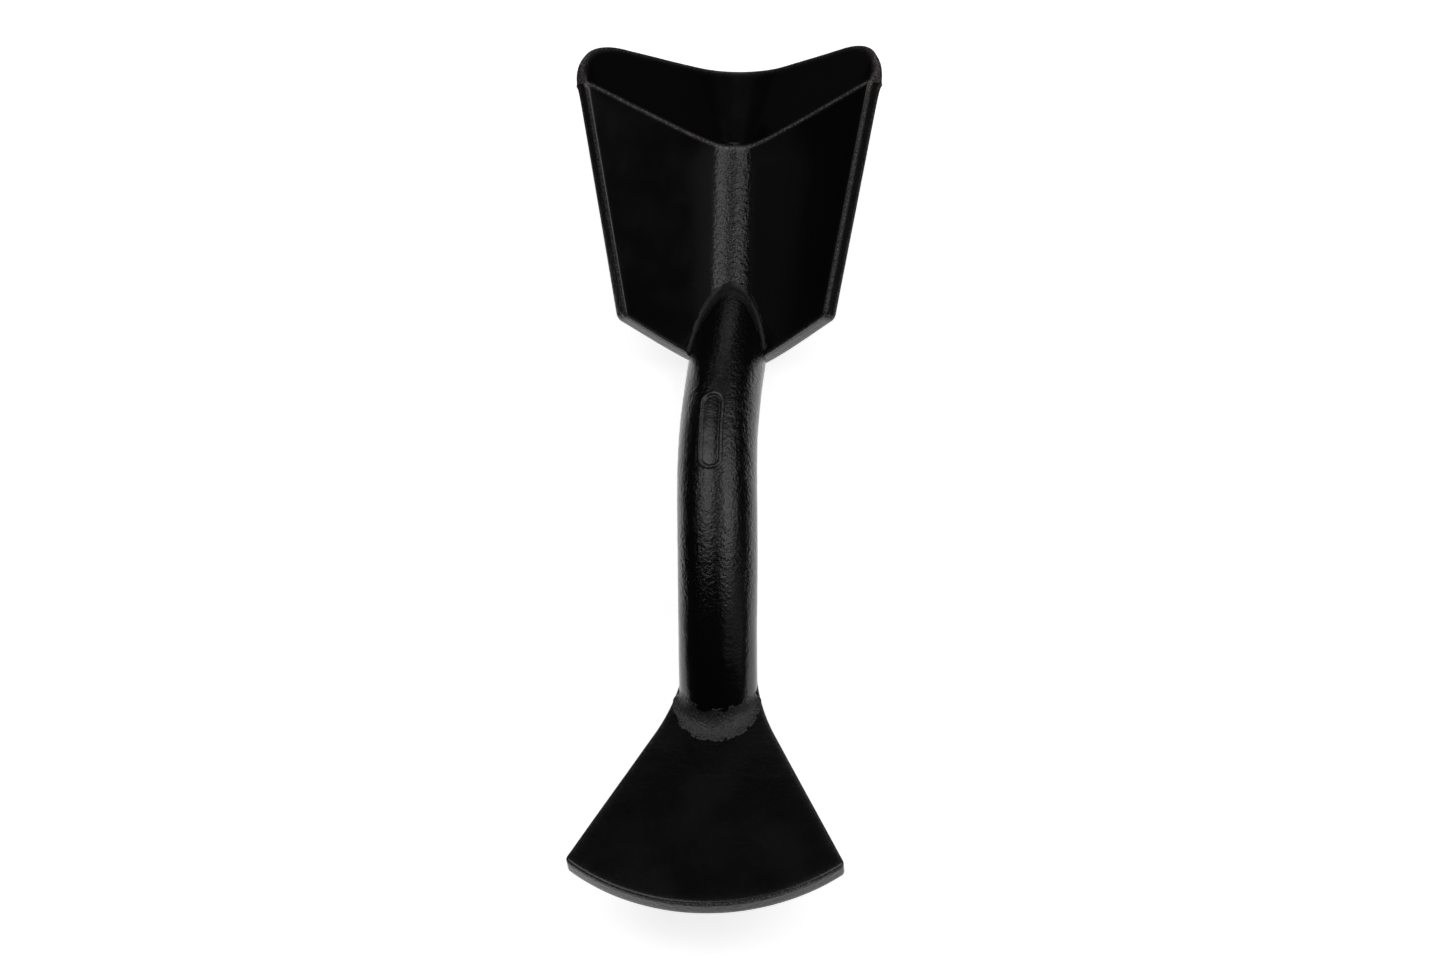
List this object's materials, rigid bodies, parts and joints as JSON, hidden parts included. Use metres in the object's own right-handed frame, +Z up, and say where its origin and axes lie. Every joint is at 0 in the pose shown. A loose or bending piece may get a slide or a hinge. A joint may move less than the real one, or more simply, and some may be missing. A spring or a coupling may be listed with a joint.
{
  "type": "double-ended hand hoe",
  "caption": "Black forged hand tool: a bowed round grip bar with a V-shaped trough blade at one end and a fan-shaped blade at the other.",
  "frame": {"origin": "middle of the tool's footprint, on the plane that its two heels stand on", "axes": "+Y along the tool towards the trough blade, +X across it, +Z up out of the bow"},
  "size_m": [0.0878, 0.2554, 0.0398],
  "materials": {
    "black_lacquer": "satin-gloss black lacquer over forged steel, with a fine orange peel",
    "lacquered_weld": "the same black lacquer over a rough weld fillet"
  },
  "bodies": {
    "root": {"grip_bar": "black_lacquer", "head_blade": "black_lacquer", "fan_blade": "black_lacquer", "head_weld": "lacquered_weld", "fan_weld": "lacquered_weld"}
  },
  "joints": []
}
